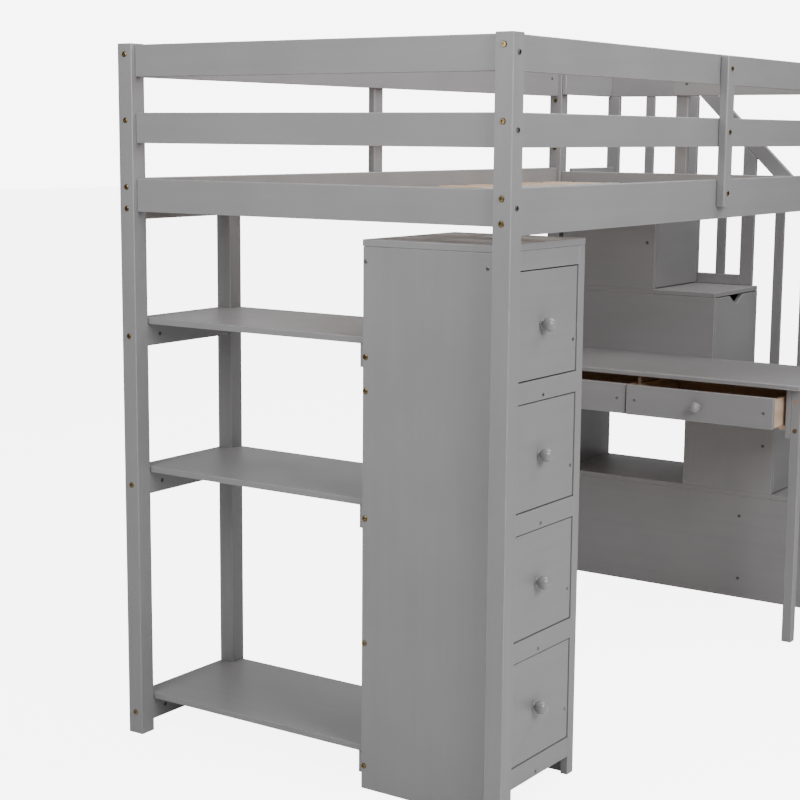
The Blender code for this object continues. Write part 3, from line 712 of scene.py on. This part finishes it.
# ==== Chest of drawers =================================================================
# A case of painted boards behind a face frame of two stiles and five rails. The drawers run on
# pine strips screwed inside the case, and their fronts are set into the frame.
CASE = 0.015                      # side, back and top boards
FRONT_GAP = 0.003
KICK = 0.045
RUNNER_T = 0.012
SEAM = 0.00015                    # half of the hairline between glued boards
CASE_EASE = 0.0012
FINE_EASE = 0.001
RUNNER_RISE = 0.008               # a runner's top above its opening's lower edge
RUNNER_FRONT, RUNNER_REAR = 0.0005, 0.004         # clear of the face frame, and of the back
CASE_SCREW_DOWN = 0.012           # below the middle of a face frame's rail
TOP_SCREW_IN = 0.010
FRAME_SCREW_OFF = 0.008           # to the side of a rail's middle
BATTEN_END = 0.003
fronts = [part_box(f"chest_drawer_{number}") for number in (1, 2, 3, 4)]
frame_low, frame_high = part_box("chest_face_frame")
opening_x = (fronts[0][0].x - FRONT_GAP, fronts[0][1].x + FRONT_GAP)
rail_edges = [frame_low.z + KICK]
for front_low, front_high in fronts:
    rail_edges += [front_low.z - FRONT_GAP, front_high.z + FRONT_GAP]
rail_edges.append(frame_high.z)
rails_z = list(zip(rail_edges[0::2], rail_edges[1::2]))

face_frame = new_stack()
mill(face_frame, frame_low, (opening_x[0], frame_high.y, frame_high.z), CASE_EASE)
mill(face_frame, (opening_x[1], frame_low.y, frame_low.z), frame_high, CASE_EASE)
for bottom, top in rails_z:
    mill(face_frame, (opening_x[0] + SEAM, frame_low.y, bottom),
         (opening_x[1] - SEAM, frame_high.y, top), FINE_EASE)
assemble("chest_face_frame_boards", face_frame, painted, "bed", ["chest_face_frame"])

screw_heights = [(bottom + top) / 2 - CASE_SCREW_DOWN for bottom, top in rails_z]
for side in ("left", "right"):
    node = f"chest_side_{side}"
    low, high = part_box(node)
    outer = (low.x, low.x + CASE) if side == "left" else (high.x - CASE, high.x)
    inner = (outer[1], high.x) if side == "left" else (low.x, outer[0])
    panel = new_stack()
    mill(panel, (outer[0], low.y, low.z), (outer[1], high.y, high.z), CASE_EASE, grain=2)
    for bottom in rail_edges[1:-1:2]:
        mill(panel, (inner[0], low.y + RUNNER_FRONT, bottom + RUNNER_RISE - RUNNER_T),
             (inner[1], high.y - CASE - RUNNER_REAR, bottom + RUNNER_RISE), FINE_EASE, grain=3)
    assemble(f"{node}_panel", panel, [*painted, pine[1]], "bed", [node])
    face_x, way = (outer[0], -X_OUT) if side == "left" else (outer[1], X_OUT)
    battens = [centre(f"shelf_batten_{level}").z for level in ("low", "high")]
    rear_y = high.y - CASE / 2
    fasten(f"{node}_screws", "bolt", "bed",
           [((face_x, rear_y, z), way) for z in battens + screw_heights[1:4]])
    fasten(f"{node}_top_screws", "screw", "bed",
           [((face_x, y, screw_heights[4]), way) for y in (rear_y, low.y + TOP_SCREW_IN)])

back_low, back_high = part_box("chest_back")
back = new_stack()
panel_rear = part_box("chest_side_left")[1].y
mill(back, (back_low.x, panel_rear - CASE, rail_edges[0]), (back_high.x, panel_rear, back_high.z),
     FINE_EASE, grain=2)
nuts = []
for level in ("low", "middle", "high"):
    batten_low, batten_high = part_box(f"shelf_batten_{level}")
    bottom = max(batten_low.z, back_low.z)
    mill(back, (back_low.x + BATTEN_END, panel_rear + SEAM, bottom),
         (batten_high.x, back_high.y, batten_high.z), CASE_EASE, grain=0)
    nuts += [((x, back_high.y, (bottom + batten_high.z) / 2), Y_OUT)
             for x in (back_low.x + NUT_INSET, batten_high.x - NUT_INSET)]
assemble("chest_back_panel", back, painted, "bed", ["chest_back"])
fasten("chest_back_nuts", "nut", "bed", nuts)
plain_board("chest_top", SHELF_EASE)
fasten("chest_frame_screws", "screw", "bed",
       [((sum(opening_x) / 2 + FRAME_SCREW_OFF, frame_low.y, z), -Y_OUT) for z in screw_heights[:4]])

# ==== Drawers of the chest =============================================================
# Each is an open pine box, glued and pinned, behind a painted front. Two screws through the
# front hold the box.
WALL = 0.012
BOTTOM = 0.006
BOTTOM_SET = 0.0005               # a bottom stands this far up between the sides
BOTTOM_EASE = 0.0005
FRONT_T = 0.015
CHEST_BOX_H = 0.165
KNOB_TO_SCREWS = 0.046
CHEST_SCREW_IN = 0.013            # from the front's ends


def open_box(bm, low, high, facing_x):
    """Add a drawer box: two long sides, a front and a back between them, and a bottom."""
    inside_low, inside_high = low + Vector((WALL, WALL, 0.0)), high - Vector((WALL, WALL, 0.0))
    if facing_x:
        mill(bm, low, (high.x, inside_low.y, high.z), FINE_EASE, grain=3)
        mill(bm, (low.x, inside_high.y, low.z), high, FINE_EASE, grain=3)
        for start in (low.x, inside_high.x):
            mill(bm, (start, inside_low.y + SEAM, low.z), (start + WALL, inside_high.y - SEAM, high.z),
                 FINE_EASE, grain=4)
    else:
        mill(bm, low, (inside_low.x, high.y, high.z), FINE_EASE, grain=4)
        mill(bm, (inside_high.x, low.y, low.z), high, FINE_EASE, grain=4)
        for start in (low.y, inside_high.y):
            mill(bm, (inside_low.x + SEAM, start, low.z), (inside_high.x - SEAM, start + WALL, high.z),
                 FINE_EASE, grain=3)
    mill(bm, (inside_low.x + SEAM, inside_low.y + SEAM, low.z + BOTTOM_SET),
         (inside_high.x - SEAM, inside_high.y - SEAM, low.z + BOTTOM), BOTTOM_EASE, grain=3)


DRAWER_FINISHES = [*painted, pine[0], pine[1]]    # grain 3 and 4 are pine along X and along Y
for number, (low, high) in enumerate(fronts, start=1):
    node = f"chest_drawer_{number}"
    made = new_stack()
    mill(made, low, (high.x, low.y + FRONT_T, high.z), THIN_EASE, grain=0)
    box_bottom = low.z - FRONT_GAP + RUNNER_RISE + POST_GAP
    open_box(made, Vector((low.x, low.y + FRONT_T + SEAM, box_bottom)),
             Vector((high.x, high.y, box_bottom + CHEST_BOX_H)), facing_x=False)
    assemble(f"{node}_box_and_front", made, DRAWER_FINISHES, node, [node])
    screw_z = centre(f"chest_knob_{number}").z - KNOB_TO_SCREWS
    fasten(f"{node}_screws", "screw", node,
           [((x, low.y, screw_z), -Y_OUT) for x in (low.x + CHEST_SCREW_IN, high.x - CHEST_SCREW_IN)])

# ==== Knobs ============================================================================
# Turned beech knobs on a small foot, dipped in the same grey, so they shine a little more.
KNOB_STEPS = 56
KNOB_ARC = 26
KNOB_NECK = 0.0075                # radius of the neck
KNOB_FOOT_R, KNOB_FOOT_H = 0.0105, 0.0018
KNOB_DOUBLES = 0.00001            # nearer than this, two points are one


def knob_profile(radius, height):
    """Radius and height of a ball knob on a short neck and a rounded foot, crown first."""
    middle = height - radius
    neck = -math.acos(KNOB_NECK / radius)
    turns = [math.pi / 2 + (neck - math.pi / 2) * step / KNOB_ARC for step in range(1, KNOB_ARC + 1)]
    ball = [(radius * math.cos(turn), middle + radius * math.sin(turn)) for turn in turns]
    cove = [(KNOB_NECK + 0.0008, KNOB_FOOT_H + 0.0010), (KNOB_FOOT_R - 0.0006, KNOB_FOOT_H + 0.0003),
            (KNOB_FOOT_R, KNOB_FOOT_H - 0.0004)]
    return [(0.0, height), *ball, *cove, (KNOB_FOOT_R, 0.0), (0.0, 0.0)]


knob_paint = coated("knob_paint", sprayed_paint,
                    {"Colour": (0.300, 0.295, 0.300, 1.0), "Shade": (0.275, 0.270, 0.275, 1.0),
                     "Stretch": (30.0, 30.0, 30.0), "Relief": 0.08},
                    {"Coat Weight": 0.7, "Coat Roughness": 0.14, "Specular IOR Level": 0.5})


def turned_knob(node, facing):
    """A knob turned about its node's axis."""
    low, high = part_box(node)
    height = abs(facing.dot(high - low))
    seat = (low + high) / 2 - facing * (height / 2)
    bm = bmesh.new()
    profile = knob_profile((high.z - low.z) / 2, height)
    ring = [bm.verts.new((radius, 0.0, rise)) for radius, rise in profile]
    edges = [bm.edges.new(pair) for pair in zip(ring, ring[1:])]
    bmesh.ops.spin(bm, geom=ring + edges, cent=(0, 0, 0), axis=(0, 0, 1), angle=math.tau, steps=KNOB_STEPS)
    bmesh.ops.remove_doubles(bm, verts=bm.verts, dist=KNOB_DOUBLES)
    bmesh.ops.recalc_face_normals(bm, faces=bm.faces)
    turn = Z_OUT.rotation_difference(facing).to_matrix().to_4x4()
    bmesh.ops.transform(bm, matrix=Matrix.Translation(seat) @ turn, verts=bm.verts)
    for face in bm.faces:
        face.smooth = True
    assemble(f"{node}_turned", bm, [knob_paint], home[node], [node])


for number in (1, 2, 3, 4):
    turned_knob(f"chest_knob_{number}", -Y_OUT)

# ==== Desk =============================================================================
# A thin top on two square legs in front and the staircase behind. Two aprons, a rear rail and
# a divider are glued up under it, with pine runners for the drawers.
DESK_TOP_EASE = 0.0035
RUNNER_H = 0.013
RUNNER_DOWN = 0.012               # a desk runner's underside below the drawer fronts'
STEP_BACK = 0.002                 # from a shut drawer front to the runners
RUNNER_LIP = 0.018                # how far a runner reaches under a drawer
RAIL_OVER_RUNNER = 0.011
DIVIDER_T = 0.010
FRAME_EASE = 0.0008
UNDERSIDE = (0.0022, 0.0004)      # the bare skin's faces below the top's own
UNDERSIDE_IN = 0.001
UNDERSIDE_EASE = 0.0003
LEG_EASE = 0.0025
LEG_PLUG, LEG_BOLT, LEG_SIDE_BOLTS = 0.037, 0.122, (0.030, 0.115)     # below a leg's top
plain_board("desk_top", DESK_TOP_EASE)
frame_low, frame_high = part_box("desk_drawer_frame")
middle_y = (frame_low.y + frame_high.y) / 2
near_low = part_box("desk_drawer_near")[0]
runner_bottom = near_low.z - RUNNER_DOWN
runner_z = (runner_bottom, runner_bottom + RUNNER_H)
rear_rail_low = runner_z[1] + RAIL_OVER_RUNNER
runner_x = (frame_low.x + FRONT_T + STEP_BACK, frame_high.x - CASE)
ledge = near_low.y + RUNNER_LIP - frame_low.y
case = new_stack()
mill(case, frame_low, (frame_high.x, frame_low.y + CASE, frame_high.z), THIN_EASE, grain=0)
mill(case, (frame_low.x, frame_high.y - CASE, frame_low.z), frame_high, THIN_EASE, grain=0)
mill(case, (frame_high.x - CASE, frame_low.y + CASE + SEAM, rear_rail_low),
     (frame_high.x, frame_high.y - CASE - SEAM, frame_high.z), grain=1)
mill(case, (runner_x[0], middle_y - DIVIDER_T / 2, runner_z[1]),
     (runner_x[1], middle_y + DIVIDER_T / 2, frame_high.z), FRAME_EASE, grain=3)
middle_half = DIVIDER_T / 2 + RUNNER_LIP
for y in ((frame_low.y + CASE, frame_low.y + ledge), (frame_high.y - ledge, frame_high.y - CASE),
          (middle_y - middle_half, middle_y + middle_half)):
    mill(case, (runner_x[0], y[0], runner_z[0]), (runner_x[1], y[1], runner_z[1]), FRAME_EASE, grain=3)
assemble("desk_drawer_frame_boards", case, [*painted, pine[0]], "bed", ["desk_drawer_frame"])

# The underside of the top is left bare, as the gap over the drawers shows.
top_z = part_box("desk_top")[0].z
bare = new_stack()
mill(bare, (runner_x[0], frame_low.y + CASE + UNDERSIDE_IN, top_z - UNDERSIDE[0]),
     (runner_x[1] - UNDERSIDE_IN, frame_high.y - CASE - UNDERSIDE_IN, top_z - UNDERSIDE[1]),
     UNDERSIDE_EASE, grain=1)
assemble("desk_top_underside", bare, pine, "bed")

leg_bolts, plugs = [], []
for side in ("near", "rear"):
    node = f"desk_leg_{side}"
    plain_board(node, LEG_EASE)
    low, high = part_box(node)
    leg_x, leg_y = (low.x + high.x) / 2, (low.y + high.y) / 2
    plugs.append(((low.x, leg_y, high.z - LEG_PLUG), -X_OUT))
    leg_bolts.append(((low.x, leg_y, high.z - LEG_BOLT), -X_OUT))
    side_y, way = (low.y, -Y_OUT) if side == "near" else (high.y, Y_OUT)
    leg_bolts += [((leg_x, side_y, high.z - drop), way) for drop in LEG_SIDE_BOLTS]
fasten("desk_leg_bolts", "bolt", "bed", leg_bolts)


def shallow_ring(_angle):
    """Reach of the faint ring on a plug's flat end, the same all round."""
    return 1.0


orange_wood = coated("plug_wood", bare_wood, {"Light": (0.66, 0.30, 0.12, 1.0),
                                              "Dark": (0.46, 0.17, 0.06, 1.0),
                                              "Stretch": (60.0, 60.0, 60.0)})
KINDS["plug"] = (head("plug_end", radius=0.0042, rise=0.0006, recess=shallow_ring, recess_radius=0.0024,
                      depth=0.0001), orange_wood)
fasten("desk_leg_plugs", "plug", "bed", plugs)

# ==== Drawers of the desk ==============================================================
# Shallow pine boxes behind painted fronts, which stand a little open. A screw through each end
# of a front holds its box.
BOX_BY_APRON, BOX_BY_DIVIDER = 0.003, 0.005       # a box's sides inside its front's ends
BOX_UNDER_FRONT = 0.006           # a box's rim below its front's top
DESK_SCREW_IN = 0.028
for side in ("near", "far"):
    node = f"desk_drawer_{side}"
    low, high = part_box(node)
    inset = (BOX_BY_APRON, BOX_BY_DIVIDER) if side == "near" else (BOX_BY_DIVIDER, BOX_BY_APRON)
    made = new_stack()
    mill(made, low, (low.x + FRONT_T, high.y, high.z), THIN_EASE, grain=1)
    open_box(made, Vector((low.x + FRONT_T + SEAM, low.y + inset[0], runner_z[1] + POST_GAP)),
             Vector((high.x, high.y - inset[1], high.z - BOX_UNDER_FRONT)), facing_x=True)
    assemble(f"{node}_box_and_front", made, DRAWER_FINISHES, node, [node])
    middle = (low.z + high.z) / 2
    fasten(f"{node}_screws", "screw", node,
           [((low.x, y, middle), -X_OUT) for y in (low.y + DESK_SCREW_IN, high.y - DESK_SCREW_IN)])
    turned_knob(f"desk_knob_{side}", -X_OUT)

# ==== Staircase ========================================================================
# A carcass of painted boards: its sides are built up in tiers, with the treads let in between
# them, so hairline seams show at every tread. A back and a base close it.
treads = [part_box(node) for node in ("stair_tread_1", "stair_tread_2", "stair_tread_3", "stair_landing")]
TREAD_T = 0.015
TREAD_EASE = 0.0022
TIER_EASE, TREAD_END_EASE = 0.0009, 0.0007
CUBBY_FROM = 0.300                # behind the second riser
BASE_T = 0.012
# Each panel screw is a riser's number, counted from 0, a distance behind it, and a height.
PANEL_SCREWS = ((3, 0.027, 1.114), (1, 0.033, 0.497), (1, 0.102, 0.265), (1, 0.099, 0.063))
tread_tops = [low.z + TREAD_T for low, high in treads]
risers = [low.y for low, high in treads]
back_low, back_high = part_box("stair_back")
rear_y = back_high.y
cubby_y = (risers[1] + CUBBY_FROM, rear_y - TREAD_T)
for side in ("left", "right"):
    node = f"stair_side_{side}"
    low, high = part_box(node)
    tiers = new_stack()
    bottom = 0.0
    for tier, top in enumerate(tread_tops):
        start = low.y if tier == 0 else risers[tier]
        upper = top - TREAD_T
        if tier == 1:
            mill(tiers, (low.x, start, bottom), (high.x, cubby_y[0], upper), TIER_EASE, grain=2)
            mill(tiers, (low.x, cubby_y[1], bottom), (high.x, rear_y, upper), TIER_EASE, grain=2)
        else:
            mill(tiers, (low.x, start, bottom), (high.x, rear_y, upper - 2 * SEAM), TIER_EASE, grain=1)
        if tier < 3:
            mill(tiers, (low.x, risers[tier + 1], upper), (high.x, rear_y, top), TREAD_END_EASE, grain=1)
        bottom = top + 2 * SEAM
    assemble(f"{node}_panels", tiers, painted, "bed", [node])

post_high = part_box("post_near_right")[1]
for tier, (low, high) in enumerate(treads):
    node = "stair_landing" if tier == 3 else f"stair_tread_{tier + 1}"
    top = low.z + TREAD_T
    tread = new_stack()
    if tier == 3:
        mill(tread, low, (high.x, high.y, top), TREAD_EASE, grain=0)
    else:
        step = risers[tier + 1] - POST_GAP
        inner = (low.x + CASE + POST_GAP, high.x - CASE - POST_GAP)
        outline = [(high.x, low.y), (high.x, step), (inner[1], step), (inner[1], high.y),
                   (inner[0], high.y), (inner[0], step), (low.x, step)]
        if tier == 0:
            notch = (post_high.x + POST_GAP, post_high.y + POST_GAP)
            outline += [(low.x, notch[1]), (notch[0], notch[1]), (notch[0], low.y)]
        else:
            outline.append((low.x, low.y))
        saw(tread, "Z", outline, low.z, top, TREAD_EASE, grain=0)
    if tier == 0:
        mill(tread, (low.x + CASE + POST_GAP, cubby_y[0] - CASE, top + SEAM),
             (high.x - CASE - POST_GAP, cubby_y[0], high.z), FINE_EASE, grain=0)
    assemble(f"{node}_board", tread, painted, "bed", [node])

low_rail_low, low_rail_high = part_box("end_rail_low_right")
back = new_stack()
notch_x, notch_z = low_rail_high.x + 2 * POST_GAP, low_rail_low.z - POST_GAP
saw(back, "Y", ((back_low.x, 0.0), (back_high.x, 0.0), (back_high.x, back_high.z), (notch_x, back_high.z),
                (notch_x, notch_z), (back_low.x, notch_z)), rear_y - CASE, rear_y, THIN_EASE, grain=2)
mill(back, (back_low.x, back_low.y, 0.0), (back_high.x, rear_y - CASE - SEAM, BASE_T), FINE_EASE, grain=3)
assemble("stair_back_and_base", back, [*painted, pine[1]], "bed", ["stair_back"])

left_face, right_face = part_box("stair_side_left")[0].x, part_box("stair_side_right")[1].x
fasten("stair_panel_screws", "nut", "bed",
       [((face_x, risers[riser] + along, height), way) for riser, along, height in PANEL_SCREWS
        for face_x, way in ((left_face, -X_OUT), (right_face, X_OUT))])

# ==== Drawers of the staircase =========================================================
# One in every riser. A notch sawn in the front's top edge takes the fingers, so there is no
# knob that a foot could catch.
NOTCH_W = 0.104
NOTCH_H = 0.028
NOTCH_TIP, TIP_RISE = 0.008, 0.002                # half the blunt tip's width, and its depth
BOX_DROP = 0.060                  # a box's rim below its front's top
for number in (1, 2, 3, 4):
    node = f"stair_drawer_{number}"
    low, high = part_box(node)
    middle = (low.x + high.x) / 2
    bottom = BASE_T + POST_GAP if number == 1 else low.z
    front_low = low.z if number == 1 else tread_tops[number - 2] + FRONT_GAP
    tip = high.z - NOTCH_H
    notch = ((middle + NOTCH_W / 2, high.z), (middle + NOTCH_TIP, tip + TIP_RISE), (middle, tip),
             (middle - NOTCH_TIP, tip + TIP_RISE), (middle - NOTCH_W / 2, high.z))
    outline = ((low.x, front_low), (high.x, front_low), (high.x, high.z), *notch, (low.x, high.z))
    made = new_stack()
    saw(made, "Y", outline, low.y, low.y + FRONT_T, THIN_EASE, grain=0)
    open_box(made, Vector((low.x, low.y + FRONT_T + SEAM, bottom)),
             Vector((high.x, high.y, high.z - BOX_DROP)), facing_x=False)
    assemble(f"{node}_box_and_front", made, DRAWER_FINISHES, node, [node])

# ==== Railing of the staircase =========================================================
# A sloping handrail over four posts and four thinner balusters, with a foot rail on every
# tread. Round the landing it turns into a level guard, whose rear rail meets the bed's post.
POST_W = 0.045
STICK_W = 0.033
STICK_SET = 0.0025                # balusters stand back from the posts' faces
STICK_SHIFT = (0.145, 0.140, 0.131, 0.192)        # a baluster's middle behind its riser
POST_SET = 0.016                  # a post's front behind its riser
FOOT_H = 0.034                    # of the rail along each tread
SLOPE = 0.97
BEND_FROM = 0.629                 # from the handrail's foot to the guard, along the bed's width
TOP_W = 0.067
HAND_W = 0.067
HAND_EASE, STICK_EASE = 0.003, 0.002
FOOT_BOLT = 0.040                 # above each tread
ENTRANCE_BOLTS = (0.014, 0.017)   # below the top and middle guard rails
low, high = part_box("stair_railing")
rail_x = (right_face - CASE, right_face)
bend = (low.y + BEND_FROM, high.z - TOP_W)        # where the handrail's lower edge meets the guard


def under(y):
    """Height of the handrail's lower edge at a station."""
    return bend[1] + (y - bend[0]) * SLOPE


railing = new_stack()
head_y = risers[3] + POST_SET
saw(railing, "X", ((low.y, under(low.y)), (head_y - SEAM, under(head_y)), (head_y - SEAM, high.z),
                   (bend[0], high.z), (low.y, under(low.y) + HAND_W)), *rail_x, HAND_EASE, grain=1)
mill(railing, (rail_x[0], head_y, bend[1]), (rail_x[1], high.y, high.z), HAND_EASE)
mill(railing, (low.x, high.y - CASE, bend[1]), (rail_x[0] - SEAM, high.y, high.z), HAND_EASE)
for tier, top in enumerate(tread_tops):
    start = risers[tier] + POST_SET
    end = risers[tier + 1] - POST_GAP if tier < 3 else high.y - POST_W
    stick = risers[tier] + STICK_SHIFT[tier]
    foot = top + POST_GAP
    post = (start, start + POST_W, foot, 0.0)
    baluster = (stick - STICK_W / 2, stick + STICK_W / 2, top + FOOT_H + SEAM, STICK_SET)
    for y0, y1, base, setback in (post, baluster):
        heads = (bend[1], bend[1]) if tier == 3 else (under(y0), under(y1))
        saw(railing, "X", ((y0, base), (y1, base), (y1, heads[1] - SEAM), (y0, heads[0] - SEAM)),
            rail_x[0] + setback, rail_x[1] - setback, STICK_EASE, grain=2)
    mill(railing, (rail_x[0], start + POST_W + SEAM, foot), (rail_x[1], end - SEAM, top + FOOT_H),
         STICK_EASE)
mill(railing, (rail_x[0], high.y - POST_W, tread_tops[3] + POST_GAP), (rail_x[1], high.y, bend[1] - SEAM),
     STICK_EASE)
assemble("stair_railing_boards", railing, painted, "bed", ["stair_railing"])
railing_bolts = []
for tier, top in enumerate(tread_tops):
    y = risers[tier] + POST_SET + POST_W / 2
    head_z = bend[1] + TOP_W / 2 if tier == 3 else under(y) + HAND_W / 2
    railing_bolts += [((rail_x[1], y, z), X_OUT) for z in (top + FOOT_BOLT, head_z)]
fasten("railing_bolts", "bolt", "bed", railing_bolts)
inner_face, post_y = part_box("post_rear_right")[0].x, centre("post_rear_right").y
fasten("entrance_bolts", "bolt", "bed",
       [((inner_face, post_y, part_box(f"guard_rail_{level}_rear")[0].z - drop), -X_OUT)
        for level, drop in zip(("top", "middle"), ENTRANCE_BOLTS)])

# The patterns that every fastener was copied from aren't pieces of the bed.
for kind in KINDS.values():
    bpy.data.objects.remove(kind[0])
